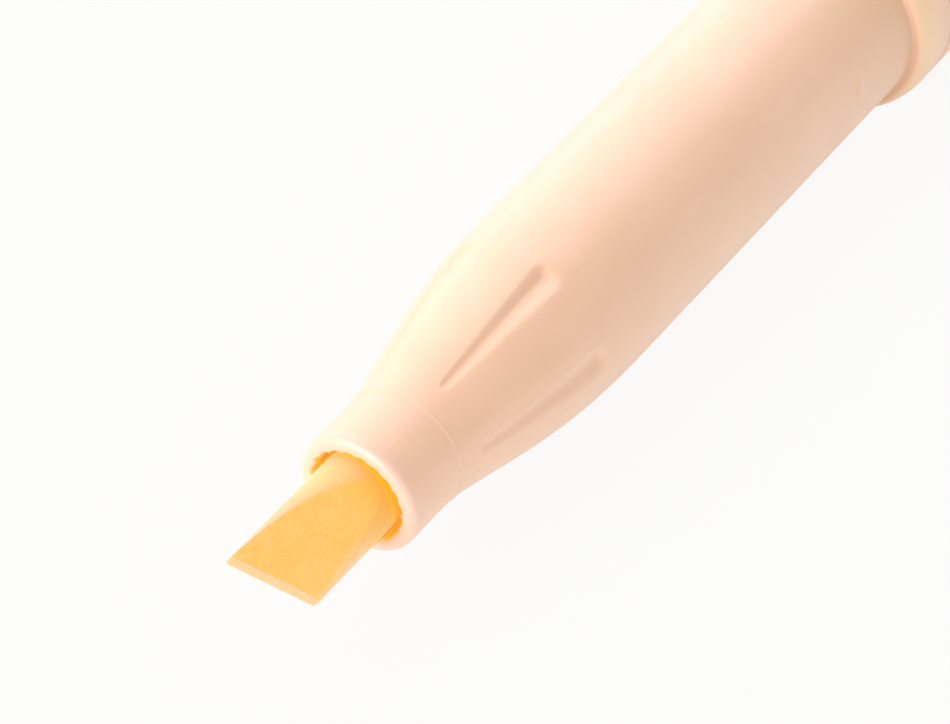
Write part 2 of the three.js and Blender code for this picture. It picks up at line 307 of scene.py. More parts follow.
def mesh_piece(name: str, points: np.ndarray, faces: list[np.ndarray],
               material: bpy.types.Material) -> bpy.types.Object:
    """Makes a smooth-shaded object at the origin from points and faces.

    Args:
        name: the piece's name.
        points: array whose last axis is a point in metres.
        faces: arrays of point numbers, one row a face; each array has faces of one size.
        material: its finish.

    Returns:
        The new object, linked to the scene.
    """
    mesh = bpy.data.meshes.new(name)
    corners = np.concatenate([group.ravel() for group in faces])
    sizes = np.concatenate([np.full(len(group), group.shape[1]) for group in faces])
    mesh.vertices.add(points.size // 3)
    mesh.vertices.foreach_set("co", points.astype(np.float32).ravel())
    mesh.loops.add(len(corners))
    mesh.loops.foreach_set("vertex_index", corners.astype(np.int32))
    mesh.polygons.add(len(sizes))
    mesh.polygons.foreach_set("loop_start", (np.cumsum(sizes) - sizes).astype(np.int32))
    mesh.update(calc_edges=True)
    mesh.validate()
    mesh.shade_smooth()
    mesh.materials.append(material)
    piece = bpy.data.objects.new(name, mesh)
    bpy.context.scene.collection.objects.link(piece)
    return piece


def closed_grid(rows: int, columns: int, ends: bool) -> np.ndarray:
    """Quads of a grid of rows and columns whose columns close round.

    Args:
        rows: number of rings.
        columns: points in each ring.
        ends: True joins the last ring back to the first, as on a tube with a wall.

    Returns:
        Point numbers of the quads, wound so that a profile that runs towards +X on the outside faces out.
    """
    last = rows if ends else rows - 1
    row, column = np.meshgrid(np.arange(last), np.arange(columns), indexing="ij")
    ahead, beside = (row + 1) % rows, (column + 1) % columns
    first, second = row * columns, ahead * columns
    corners = [first + column, second + column, second + beside, first + beside]
    return np.stack(corners, axis=-1).reshape(-1, 4)[:, ::-1]


def capped_rings(name: str, rings: np.ndarray, poles: np.ndarray,
                 material: bpy.types.Material) -> bpy.types.Object:
    """Makes an object of closed rings, with triangles from its first and last ring to a pole.

    Args:
        name: the piece's name.
        rings: points in metres, by ring and column.
        poles: the first and the last pole.
        material: its finish.

    Returns:
        The new object.
    """
    rows, columns = rings.shape[:2]
    column = np.arange(columns)
    beside = (column + 1) % columns
    last, pole = (rows - 1) * columns, np.full(columns, rows * columns)
    faces = [
        closed_grid(rows, columns, False),
        np.stack([beside, column, pole], axis=-1),
        np.stack([last + column, last + beside, pole + 1], axis=-1),
    ]
    return mesh_piece(name, np.concatenate([rings.reshape(-1, 3), poles]), faces, material)


def revolve(name: str, profile: np.ndarray, turns: np.ndarray, material: bpy.types.Material,
            relief: np.ndarray | float = 0.0) -> bpy.types.Object:
    """Turns a profile round the pen's axis.

    Formula: ring i lies at along_i with radius_i + relief_ij at turn_j. A profile whose ends are on the
    axis closes with a fan at each end; any other closes on itself.

    Args:
        name: the piece's name.
        profile: n by 2 array of (along, radius), running towards +X on the outside.
        turns: radians of the columns, rising.
        material: its finish.
        relief: millimetres added to the radius, by ring and column.

    Returns:
        The new object.
    """
    along, radius = profile[:, :1], profile[:, 1:]
    points = PEN.points(along, radius + relief, turns[None, :])
    if profile[0, 1] > 0:
        return mesh_piece(name, points, [closed_grid(*points.shape[:2], True)], material)
    return capped_rings(name, points[1:-1], points[[0, -1], 0], material)


def arc(along: float, radius: float, size: float, start: float, end: float, steps: int = 8) -> np.ndarray:
    """Points of a round edge: centre plus size times (cos, sin) of angles from start to end.

    Args:
        along, radius: the centre.
        size: the round's own radius.
        start, end: angles in degrees.
        steps: chords of the round.

    Returns:
        The points, one a row.
    """
    angle = np.radians(np.linspace(start, end, steps + 1))
    return np.stack([along + size * np.cos(angle), radius + size * np.sin(angle)], axis=-1)


def run(*corners: tuple[float, float] | np.ndarray) -> np.ndarray:
    """Joins points and runs of points into one profile."""
    return np.concatenate([np.atleast_2d(np.array(c, float)) for c in corners])


def pairs(along: np.ndarray | float, radius: np.ndarray | float) -> np.ndarray:
    """Profile points from stations and their radii, either of which may be one number for all."""
    return np.stack(np.broadcast_arrays(along, radius), axis=-1)


def even_turns(count: int) -> np.ndarray:
    """Evenly spaced columns round the axis, in radians."""
    return np.linspace(0, 2 * np.pi, count, endpoint=False)


def off_nearest(turn: np.ndarray, middle: float, count: int) -> np.ndarray:
    """How far a turn is from the nearest of some evenly spaced features.

    Args:
        turn: radians.
        middle: degrees of one feature's middle.
        count: features round the axis.

    Returns:
        Radians, from minus to plus half the spacing.
    """
    lobe = 2 * np.pi / count
    return (turn - math.radians(middle) + lobe / 2) % lobe - lobe / 2


@dataclass(frozen=True)
class Stain:
    """Ink lying over a plastic: where it is, 0 to 1, its colour, and its emission, which is painted light."""

    where: Value
    ink: Triple
    painted_glow: float


@dataclass(frozen=True)
class MouldedPlastic:
    """Satin-gloss polypropylene in one colour, with faint flow marks and fine handling wear.

    On the nose it is darker in a band before the shoulder, a painted shade, paler on the shoulder's edge, a
    painted highlight, and paler and pinker on the mouth's lip, another painted highlight. Those stations are
    in millimetres, and the noises' cells are per millimetre.
    """

    name: str
    colour: Triple
    shade: Triple
    roughness: float = 0.4
    coat: float = 1.0
    scatter: float = 0.12
    reach: float = 1.2
    haze: float = 0.4
    haze_tint: Triple = (255, 228, 208)
    # The next two fields paint shade: a darker band in front of the shoulder.
    painted_shade_span: tuple[float, float] = (33.0, 40.0)
    painted_shade: Triple = (238, 190, 147)
    # The next two fields paint a highlight: a paler band on the shoulder's rounded edge.
    shoulder: tuple[float, float] = (40.65, 42.9)
    painted_highlight: Triple = (255, 217, 172)
    # The next two fields paint a highlight: a paler, pinker band on the mouth's lip.
    lip: float = 0.9
    painted_lip_highlight: Triple = (251, 209, 190)
    cloud_cells: float = 0.22
    flow_cells: float = 1.3
    flow_squeeze: float = 0.12
    grain_cells: float = 9.0
    relief: float = 0.012
    index: float = 1.58

    def build(self) -> bpy.types.Material:
        """Builds the plastic, without a stain."""
        return self.surface(Graph(self.name), None)

    def surface(self, graph: Graph, stain: Stain | None) -> bpy.types.Material:
        """Builds the shader, with an ink stain laid over the plastic if one is given.

        Args:
            graph: the material's graph.
            stain: the ink, if there is any.

        Returns:
            The plastic.
        """
        place = PEN.pen_measures(graph)
        x = graph.axis(place, "X")
        front, rear = self.shoulder
        clouds = graph.noise(place, self.cloud_cells, 3.0)
        flow = graph.strands(place, self.flow_squeeze, self.flow_cells, 3.0)
        grain = graph.noise(place, self.grain_cells)
        colour = graph.mix((clouds * 0.6 + flow * 0.4).step(0.36, 0.64), self.shade, self.colour)
        # Painted shade: a darker band in front of the shoulder, all round.
        colour = graph.mix(x.step(*self.painted_shade_span) * x.step(front + 0.1, front) * 0.7, colour, self.painted_shade)
        # Painted highlight: a paler band on the shoulder's rounded edge.
        colour = graph.mix(x.step(front, front + 0.3) * x.step(rear, rear - 1.2), colour, self.painted_highlight)
        # Painted highlight: a paler, pinker band on the mouth's lip.
        colour = graph.mix(x.step(self.lip, self.lip - 0.7) * 0.6, colour, self.painted_lip_highlight)
        rough = self.roughness - 0.05 + flow * 0.06 + grain * 0.04
        # Painted light: where there is ink, the surface emits light by itself.
        painted_glow = {}
        if stain is not None:
            colour = graph.mix(stain.where, colour, stain.ink)
            rough = rough + stain.where * 0.2
            shine = graph.mix(stain.where, (0, 0, 0), stain.ink)
            painted_glow = {"Emission_Color": shine, "Emission_Strength": stain.painted_glow}
        return graph.finish(
            Base_Color=colour,
            Roughness=rough,
            IOR=self.index,
            Subsurface_Weight=self.scatter,
            Subsurface_Radius=(1.0, 0.6, 0.4),
            Subsurface_Scale=self.reach * MM,
            Coat_Weight=self.coat,
            Coat_IOR=self.index,
            Coat_Roughness=0.32,
            Sheen_Weight=self.haze,
            Sheen_Roughness=0.5,
            Sheen_Tint=linear(*self.haze_tint),
            Normal=graph.bump(clouds * 0.7 + grain * 0.05, self.relief),
            **painted_glow,
        )


@dataclass(frozen=True)
class StainedPlastic(MouldedPlastic):
    """The plastic inside the nose, with ink wicked into the ribbed mouth, up to its edge's radius."""

    ink: Triple = (255, 191, 70)
    edge: float = 2.34
    depth: float = 9.0
    # Painted light: how strongly the ink in the mouth emits light by itself.
    painted_glow: float = 0.35
    wick_cells: float = 2.2

    def build(self) -> bpy.types.Material:
        """Builds the material, stained where the bore is narrower than the mouth's edge.

        Returns:
            The stained plastic.
        """
        graph = Graph(self.name)
        place = PEN.pen_measures(graph)
        x, y, z = (graph.axis(place, name) for name in "XYZ")
        radius = (y * y + z * z) ** 0.5
        wick = graph.noise(place, self.wick_cells) * 0.06
        inside = (radius + wick - 0.03).step(self.edge + 0.02, self.edge - 0.02)
        where = inside * (x + wick * 1.5).step(0.1, 0.24) * x.step(self.depth, self.depth - 2)
        return self.surface(graph, Stain(where, self.ink, self.painted_glow))


@dataclass(frozen=True)
class InkedFelt:
    """Pressed fibre soaked with ink: fine strands along the rod, paler where it has dried.

    Ink darkens the pores, soaks the felt near the mouth and pools inside it; that pool reaches further out on
    the side away from the light, partly painted shade. Near the tip, the right flank, away from the light, is
    painted paler as a painted fill light. A dry surface lies on the writing edge and on the left flank, the
    side the light falls on, where its pale colour is partly a painted highlight; it is paler towards the
    mouth. The felt also emits light by itself, which is painted light. The noises' cells are per millimetre.
    """

    name: str
    radius: float
    reach: float
    edge_plane: Triple
    wet: Triple = (255, 194, 97)
    dry: Triple = (255, 202, 118)
    speck: Triple = (252, 172, 76)
    soaked: Triple = (255, 188, 56)
    # Ink pooled inside the mouth, partly painted shade on the flank away from the light.
    pooled_ink_and_shade: Triple = (255, 212, 10)
    # Painted light: the paler colour of the flank away from the light.
    painted_fill_light: Triple = (255, 208, 156)
    # The next two colours are a dry surface that is partly a painted highlight, paler towards the mouth.
    dry_skin_and_highlight: Triple = (242, 175, 122)
    dry_skin_and_highlight_rear: Triple = (250, 195, 126)
    # The turn round the rod that faces the light; the painted marks below are measured from it.
    light_side_turn: float = 32.0
    # Painted light: how strongly the felt emits light by itself.
    painted_glow: float = 0.12
    strand_cells: float = 7.0
    strand_squeeze: float = 0.16
    patch_cells: float = 0.9
    pore_cells: float = 6.5
    relief: float = 0.035

    def build(self) -> bpy.types.Material:
        """Builds the material.

        Returns:
            The felt.
        """
        graph = Graph(self.name)
        place = PEN.pen_measures(graph)
        strands = graph.strands(place, self.strand_squeeze, self.strand_cells, 3.0)
        patches = graph.noise(place, self.patch_cells, 3.0)
        pores = graph.noise(place, self.pore_cells)
        x, y, z = (graph.axis(place, name) for name in "XYZ")
        radius = (y * y + z * z) ** 0.5
        turn = math.radians(self.light_side_turn)
        # side is 1 on the flank facing the light and -1 on the flank away from it.
        side = (y * math.cos(turn) + z * math.sin(turn)) / radius
        depth = radius + patches * 0.08 - 0.04
        # Dry surface kept to the flank facing the light: partly real drying, partly a painted highlight.
        left = depth.step(self.radius - 0.09, self.radius - 0.01) * side.step(-0.1, 0.5)
        # Painted light: the flank away from the light, near the tip, is painted paler, as if filled with
        # light.
        right = depth.step(self.radius - 0.35, self.radius - 0.05) * side.step(-0.6, -0.9)
        edge = graph.dot(place, self.edge_plane)
        dry_skin_and_highlight = (left + edge.step(0.07 - self.reach, 0.01 - self.reach)).step(0.0, 1.0)
        colour = graph.mix((patches * 0.55 + strands * 0.45).step(0.36, 0.66), self.wet, self.dry)
        colour = graph.mix(pores.step(0.6, 0.74) * 0.8, colour, self.speck)
        colour = graph.mix((x + patches).step(-2.0, 0.8) * 0.7, colour, self.soaked)
        # Painted fill light on the flank away from the light, towards the tip.
        colour = graph.mix(right * x.step(-1.0, -2.6) * 0.8, colour, self.painted_fill_light)
        # Paints that dry surface, paler towards the mouth: partly a painted highlight.
        colour = graph.mix(dry_skin_and_highlight, colour, graph.mix(x.step(-5.0, -0.5), self.dry_skin_and_highlight, self.dry_skin_and_highlight_rear))
        # Ink pooled inside the mouth; the ring reaches further out on the flank away from the light, partly
        # painted shade.
        colour = graph.mix((x + patches * 0.3 - side * 0.25).step(0.05, 0.25), colour, self.pooled_ink_and_shade)
        return graph.finish(
            Base_Color=colour,
            Roughness=0.86 + patches * 0.1,
            IOR=1.4,
            Specular_IOR_Level=0.25,
            Subsurface_Weight=0.25,
            Subsurface_Radius=(1.0, 0.55, 0.2),
            Subsurface_Scale=0.8 * MM,
            Sheen_Weight=0.45,
            Sheen_Roughness=0.5,
            # Painted light: the felt emits its wet colour by itself.
            Emission_Color=linear(*self.wet),
            Emission_Strength=self.painted_glow,
            Normal=graph.bump(strands * 0.7 + pores * 0.3, self.relief),
        )


@dataclass(frozen=True)
class Rubber:
    """Milky friction rubber, with grey smudges where it has been used."""

    name: str
    colour: Triple = (244, 226, 205)
    smudge: Triple = (222, 196, 168)
    smudge_cells: float = 0.8
    grain_cells: float = 12.0
    relief: float = 0.01

    def build(self) -> bpy.types.Material:
        """Builds the material.

        Returns:
            The rubber.
        """
        graph = Graph(self.name)
        place = PEN.pen_measures(graph)
        used = graph.noise(place, self.smudge_cells, 4.0)
        grain = graph.noise(place, self.grain_cells)
        return graph.finish(
            Base_Color=graph.mix(used.step(0.5, 0.72) * 0.6, self.colour, self.smudge),
            Roughness=0.5 + used * 0.2,
            IOR=1.47,
            Subsurface_Weight=0.3,
            Subsurface_Radius=(1.0, 0.8, 0.6),
            Subsurface_Scale=1.5 * MM,
            Normal=graph.bump(grain, self.relief),
        )


@dataclass(frozen=True)
class WovenFibre:
    """The reservoir's bundle of crimped fibres, soaked with ink."""

    name: str
    wet: Triple = (250, 160, 50)
    dry: Triple = (254, 196, 104)
    strand_cells: float = 5.0
    strand_squeeze: float = 0.1
    relief: float = 0.05

    def build(self) -> bpy.types.Material:
        """Builds the material.

        Returns:
            The fibre bundle.
        """
        graph = Graph(self.name)
        strands = graph.strands(PEN.pen_measures(graph), self.strand_squeeze, self.strand_cells, 4.0)
        return graph.finish(
            Base_Color=graph.mix(strands.step(0.35, 0.65), self.wet, self.dry),
            Roughness=0.8 + strands * 0.15,
            Normal=graph.bump(strands, self.relief),
        )


@dataclass(frozen=True)
class ThinFilm:
    """The clear-white film wrapped round the reservoir, with soft creases along it."""

    name: str
    colour: Triple = (238, 222, 198)
    crease_shade: float = 0.93
    crease_cells: float = 1.6
    crease_squeeze: float = 0.05
    relief: float = 0.05

    def build(self) -> bpy.types.Material:
        """Builds the material.

        Returns:
            The film.
        """
        graph = Graph(self.name)
        creases = graph.strands(PEN.pen_measures(graph), self.crease_squeeze, self.crease_cells, 3.0)
        shade = tuple(self.crease_shade * c for c in self.colour)
        return graph.finish(
            Base_Color=graph.mix(creases, shade, self.colour),
            Roughness=0.22 + creases * 0.1,
            Normal=graph.bump(creases, self.relief),
        )


@dataclass
class SubAssembly:
    """A group of pieces that ride on one body."""

    body: Body

    def settle(self, piece: bpy.types.Object, slot: Slot, *nodes: str) -> None:
        """Puts a finished piece on its body, hides the nodes it stands for, and reports it.

        Args:
            piece: the new object.
            slot: the record's slot; not used.
            nodes: CAD nodes that it replaces.
        """
        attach(piece, self.body.value)
        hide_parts(*nodes)
        LOG.info("%s rides on %s, %d faces", piece.name, self.body.value, len(piece.data.polygons))

    def dress(self, node: str, material: bpy.types.Material) -> None:
        """Gives a CAD node that keeps its shape a finish.

        Args:
            node: the node's name.
            material: its finish.
        """
        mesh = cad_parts[node].data
        mesh.materials.clear()
        mesh.materials.append(material)
        LOG.info("%s keeps its shape, in %s", node, material.name)


@dataclass
class Nib(SubAssembly):
    """The felt rod and its slanted chisel, with a worn writing edge."""

    radius: float = 1.98
    reach: float = 6.05
    edge_thickness: float = 0.74
    flat_slope: float = 16.0
    edge_slant: float = 21.7
    turn: float = 121.3
    tail: float = 23.0
    taper: float = 4.0
    tail_radius: float = 1.0
    edge_wear: float = 60.0
    worn_share: float = 0.07
    worn_depth: float = 0.08
    worn_gap: float = 0.05
    pole_share: float = 0.06
    face_rings: int = 8
    worn_rings: int = 6
    rod_rings: int = 70
    past_mouth: float = 2.0
    straight: tuple[float, float] = (-1.5, 1.0)
    columns: int = 480

    def edge_plane(self) -> Triple:
        """The weights of a place whose sum, plus the reach, is its distance behind the writing edge."""
        slant, turn = math.tan(math.radians(self.edge_slant)), math.radians(self.turn)
        return 1.0, slant * math.sin(turn), -slant * math.cos(turn)

    def build(self, felt: bpy.types.Material) -> None:
        """Builds the rod.

        Formula: a ring at sheared station q is the circle cut by two flats, with worn edges. Its radius at
        an angle w from the flats' direction is (R^-p + (H / |cos w|)^-p)^(-1/p), where H, the flats'
        distance from the axis, is half the edge plus the slope times the distance from the edge. The
        station is q plus the slant times the sideways distance. That shear fades out near the mouth, where
        the rod gets straight.

        Args:
            felt: its finish.
        """
        angle = even_turns(self.columns)
        slope, slant = math.tan(math.radians(self.flat_slope)), math.tan(math.radians(self.edge_slant))
        length, rod_start = self.reach + self.tail, self.worn_depth + self.worn_gap
        corner = np.radians(np.linspace(10, 90, self.worn_rings))
        rings = run(
            pairs(0.0, np.linspace(self.pole_share, 1 - self.worn_share, self.face_rings)),
            pairs(self.worn_depth * (1 - np.cos(corner)), 1 - self.worn_share * (1 - np.sin(corner))),
            pairs(np.geomspace(rod_start, self.reach + self.past_mouth, self.rod_rings), 1.0),
            (length - self.taper, 1),
            (length, 1),
        )
        gone, share = rings[:, :1], rings[:, 1:]
        flats = (self.edge_thickness / 2 + slope * gone) / np.maximum(np.abs(np.cos(angle)), 1e-4)
        worn = (self.radius ** -self.edge_wear + flats ** -self.edge_wear) ** (-1 / self.edge_wear)
        narrow = np.clip((gone - length + self.taper) / self.taper, 0, 1)
        radius = share * (worn + narrow * (self.tail_radius - worn))
        begin, end = self.straight
        shear = slant * radius * np.sin(angle) * (1 - smooth(self.reach + begin, self.reach + end, gone))
        points = PEN.points(gone - self.reach + shear, radius, angle + math.radians(self.turn))
        poles = PEN.points(np.array([-self.reach, self.tail]), np.zeros(2), np.zeros(2))
        self.settle(capped_rings("nib_felt_chisel", points, poles, felt), Slot.FELT, "nib")


@dataclass
class FrontSection(SubAssembly):
    """The moulded nose: ribbed mouth, nozzle, witness line, fluted flare, cap seat and collar."""

    nozzle_radius: float = 3.02
    nozzle_length: float = 3.2
    rim_round: float = 0.42
    mouth_radius: float = 2.31
    mouth_depth: float = 3.2
    mouth_round: float = 0.14
    mouth_ribs: int = 20
    mouth_rib_height: float = 0.1
    mouth_rib_power: float = 0.8
    mouth_rib_level: float = 0.6
    mouth_rib_fade: tuple[float, float] = (0.2, 0.02)
    mouth_seam: float = 0.02
    bore_radius: float = 2.03
    witness: float = 3.63
    witness_width: float = 0.05
    witness_height: float = 0.035
    flare_length: float = 15.8
    onset: float = 1.44
    settle_power: float = 3.53
    section_radius: float = 4.775
    shoulder_radius: float = 4.855
    shoulder: float = 40.7
    shoulder_step: float = 0.05
    shoulder_face: float = 0.25
    shoulder_run: float = 1.4
    body_radius: float = 5.635
    collar: float = 2.6
    spigot: float = 8.0
    spigot_radius: float = 4.625
    seat_radius: float = 3.975
    pocket: float = 16.2
    pocket_step: float = 0.8
    pocket_slope: float = 1.1
    edge: float = 0.3
    fine_edge: float = 0.06
    groove_count: int = 6
    groove_turn: float = 110.3
    groove_front: float = 5.15
    groove_rear: float = 12.35
    groove_front_half: float = 0.27
    groove_rear_half: float = 0.7
    groove_lean: float = 1.45
    groove_front_depth: float = 0.08
    groove_rear_depth: float = 0.28
    bump_count: int = 3
    bump_turn: float = 168.8
    bump_back: float = 5.2
    bump_length: float = 1.0
    bump_width: float = 1.8
    bump_spread: float = 0.62
    bump_height: float = 0.08
    column_count: int = 384
    crowding: float = 2.4
    crowded_half: float = 9.0

    def outside(self, station: np.ndarray) -> np.ndarray:
        """The nozzle, flare and section as one curve.

        Formula: the flare rises by 1 - (1 - u^onset)^settle of the difference between nozzle and section,
        where u runs from 0 to 1 along it. The section widens evenly up to the shoulder.

        Args:
            station: millimetres behind the rim.

        Returns:
            The outside radius there.
        """
        u = np.clip((station - self.nozzle_length) / self.flare_length, 0, 1)
        rise = 1 - (1 - u ** self.onset) ** self.settle_power
        end = self.nozzle_length + self.flare_length
        taper = np.clip((station - end) / (self.shoulder - end), 0, 1)
        section = self.section_radius + (self.shoulder_radius - self.section_radius) * taper
        return self.nozzle_radius + (section - self.nozzle_radius) * rise

    def columns(self) -> np.ndarray:
        """Columns round the nose, close together over each groove, and so over each bump.

        Formula: turns are spaced evenly in the running sum of a density that is 1, plus the crowding times
        a flat-topped bell over each groove's middle.

        Returns:
            Radians, rising.
        """
        fine = even_turns(7200)
        off = off_nearest(fine, self.groove_turn, self.groove_count)
        density = 1 + self.crowding * np.exp(-((np.abs(off) / math.radians(self.crowded_half)) ** 4))
        total = np.concatenate([[0], np.cumsum(density)])
        wanted = np.linspace(0, total[-1], self.column_count, endpoint=False)
        return np.interp(wanted, total, np.append(fine, 2 * np.pi))

    def grooves(self, station: np.ndarray, radius: np.ndarray, turn: np.ndarray) -> np.ndarray:
        """How deep the grooves cut.

        Formula: depth cos^2(q pi / 2), where q is the distance from the groove's deepest line, or from its
        end past it, as a share of the half width. Depth and half width grow evenly from front to rear, and
        on the side of the greater turn the wall is wider by the lean.

        Args:
            station, radius, turn: the surface, as arrays that broadcast together.

        Returns:
            Depth in millimetres.
        """
        off = off_nearest(turn, self.groove_turn, self.groove_count)
        off = np.where(off > 0, off / self.groove_lean, off)
        share = np.clip((station - self.groove_front) / (self.groove_rear - self.groove_front), 0, 1)
        half = self.groove_front_half + (self.groove_rear_half - self.groove_front_half) * share
        depth = self.groove_front_depth + (self.groove_rear_depth - self.groove_front_depth) * share
        past = np.maximum(np.maximum(self.groove_front - station, station - self.groove_rear), 0)
        away = np.clip(np.sqrt((radius * off) ** 2 + past ** 2) / half, 0, 1)
        return depth * np.cos(away * np.pi / 2) ** 2

    def bumps(self, station: np.ndarray, radius: np.ndarray, turn: np.ndarray) -> np.ndarray:
        """How high the snap bumps stand.

        Formula: height (1 + cos(pi q)) / 2, where q is the distance from a bump's middle as a share of an
        oval's half length and half width. The oval is the bump, widened by the spread.

        Args:
            station, radius, turn: the surface, as arrays that broadcast together.

        Returns:
            Height in millimetres.
        """
        off = off_nearest(turn, self.bump_turn, self.bump_count)
        along = (station - self.shoulder + self.bump_back) / (self.bump_spread * self.bump_length)
        out = np.sqrt(along ** 2 + (radius * off / (self.bump_spread * self.bump_width)) ** 2)
        return self.bump_height * (0.5 + 0.5 * np.cos(np.pi * np.clip(out, 0, 1)))

    def stations(self) -> np.ndarray:
        """Rings along the outside, close together at the witness line, the grooves and the bumps.

        Returns:
            Millimetres behind the rim, rising.
        """
        line, bump = self.witness, self.shoulder - self.bump_back
        front, rear, flare_end = self.groove_front, self.groove_rear, self.nozzle_length + self.flare_length
        stretches = (
            (self.rim_round, line - 0.33, 8),
            (line - 0.24, line + 0.24, 17),
            (line + 0.32, front - 0.25, 13),
            (front - 0.2, rear + 0.75, 84),
            (rear + 0.85, flare_end, 22),
            (flare_end + 1, bump - 0.6, 16),
            (bump - 0.5, bump + 0.5, 15),
            (bump + 0.7, self.shoulder, 6),
        )
        return np.unique(np.round(np.concatenate([np.linspace(*stretch) for stretch in stretches]), 4))

    def build(self, plastic: bpy.types.Material, inked: bpy.types.Material) -> None:
        """Builds the nose as one closed surface.

        Formula: a ring's radius is its profile's. The mouth's inner rings add ribs, rib height times
        |sin(ribs turn / 2)| to a power, less a level, which fade out towards the rim. The outer rings lose
        the grooves and gain the bumps and the witness line, a bell along the pen.

        Args:
            plastic: its finish.
            inked: the finish inside its mouth.
        """
        turns, station = self.columns(), self.stations()
        outer = pairs(station, self.outside(station))
        lip, seam, fine = self.mouth_round, self.mouth_seam, self.fine_edge
        inside = run(
            pairs(np.linspace(self.mouth_depth, lip + seam, 9), self.mouth_radius),
            arc(lip, self.mouth_radius + lip, lip, 270, 180, 5),
        )
        rim = arc(self.rim_round, self.nozzle_radius - self.rim_round, self.rim_round, 180, 90, 10)[:-1]
        collar_end = self.shoulder + self.collar
        spigot_end = collar_end + self.spigot
        rise = self.body_radius - self.shoulder_radius - self.shoulder_face
        soft = arc(1, 0, 1, 180, 90, 12) * (self.shoulder_run, rise)
        behind = run(
            (self.shoulder, self.body_radius - rise - self.shoulder_step),
            soft + (self.shoulder, self.body_radius - rise),
            arc(collar_end - fine, self.body_radius - fine, fine, 90, 0, 3),
            (collar_end, self.spigot_radius),
            (spigot_end - self.edge, self.spigot_radius),
            (spigot_end, self.spigot_radius - self.edge),
            (spigot_end, self.seat_radius),
            (self.pocket, self.seat_radius),
            (self.pocket, self.seat_radius - self.pocket_step),
            (self.pocket - self.pocket_slope, self.bore_radius),
            (self.mouth_depth + seam, self.bore_radius),
        )
        profile = run(inside, rim, outer, behind)
        relief = np.zeros((len(profile), len(turns)))
        ribs = np.abs(np.sin(self.mouth_ribs / 2 * turns)) ** self.mouth_rib_power - self.mouth_rib_level
        gone, full = (self.mouth_radius + gap for gap in self.mouth_rib_fade)
        fade = smooth(gone, full, inside[:, 1:])
        relief[:len(inside)] = self.mouth_rib_height * ribs * fade
        surface = outer[:, :1], outer[:, 1:], turns
        line = self.witness_height * np.exp(-(((outer[:, :1] - self.witness) / self.witness_width) ** 2))
        first = len(inside) + len(rim)
        relief[first:first + len(outer)] = line - self.grooves(*surface) + self.bumps(*surface)
        piece = revolve("nose_moulding", profile, turns, plastic, relief)
        piece.data.materials.append(inked)
        # The faces of the mouth and of the bore behind it take the inked plastic.
        ring = np.arange(len(profile))
        bore = (ring < len(inside) - 1) | (ring >= len(profile) - 2)
        piece.data.polygons.foreach_set("material_index", np.repeat(bore, len(turns)).astype(np.int32))
        self.settle(piece, Slot.BODY, "front_section")


@dataclass
class Barrel(SubAssembly):
    """The main barrel and the plug that closes its tail."""

    start: float = 43.4
    radius: float = 5.635
    bore: float = 4.675
    tail_shoulder: float = 99.3
    tail_radius: float = 4.775
    tail_bore: float = 3.975
    tail_end: float = 117.3
    plug_head: float = 1.2
    plug_spigot: float = 5.2
    plug_wall: float = 0.9
    parting: float = 0.1
    edge: float = 0.3
    front_edge: float = 0.06
    fine_edge: float = 0.05
    fillet: float = 0.1
    dish_radius: float = 3.0
    dish_depth: float = 0.15
    columns: int = 192

    def build(self, plastic: bpy.types.Material) -> None:
        """Builds the tube and the plug.

        Args:
            plastic: their finish.
        """
        turns = even_turns(self.columns)
        front_edge, fine, fillet, dish = self.front_edge, self.fine_edge, self.fillet, self.dish_depth
        plug_shoulder = self.tail_end - self.plug_head
        end = plug_shoulder - self.parting
        step = self.tail_shoulder - (self.radius - self.tail_radius)
        tube = run(
            (self.start, self.bore),
            arc(self.start + front_edge, self.radius - front_edge, front_edge, 180, 90, 3),
            pairs(np.linspace(self.start + 1, self.tail_shoulder - 1, 12), self.radius),
            arc(self.tail_shoulder - self.edge, self.radius - self.edge, self.edge, 90, 0),
            (self.tail_shoulder, self.tail_radius + fillet),
            arc(self.tail_shoulder + fillet, self.tail_radius + fillet, fillet, 180, 270, 3)[1:],
            arc(end - fine, self.tail_radius - fine, fine, 90, 0, 3),
            (end, self.tail_bore),
            (step + self.bore - self.tail_bore, self.tail_bore),
            (step, self.bore),
        )
        self.settle(revolve("barrel_moulding", tube, turns, plastic), Slot.BODY, "barrel_tube")
        spigot = self.tail_bore - fine
        front = plug_shoulder - self.plug_spigot
        head_round = 2 * self.edge
        plug = run(
            (plug_shoulder, 0),
            (plug_shoulder, spigot - self.plug_wall),
            (front, spigot - self.plug_wall),
            (front, spigot - self.edge),
            (front + self.edge, spigot),
            (plug_shoulder, spigot),
            arc(plug_shoulder + fine, self.tail_radius - fine, fine, 180, 90, 3),
            arc(self.tail_end - head_round, self.tail_radius - head_round, head_round, 90, 0),
            (self.tail_end, self.dish_radius + fillet),
            arc(self.tail_end - dish, self.dish_radius, dish, 90, 180, 3)[1:],
            (self.tail_end - dish, 0),
        )
        self.settle(revolve("tail_plug_moulding", plug, turns, plastic), Slot.BODY, "tail_plug")


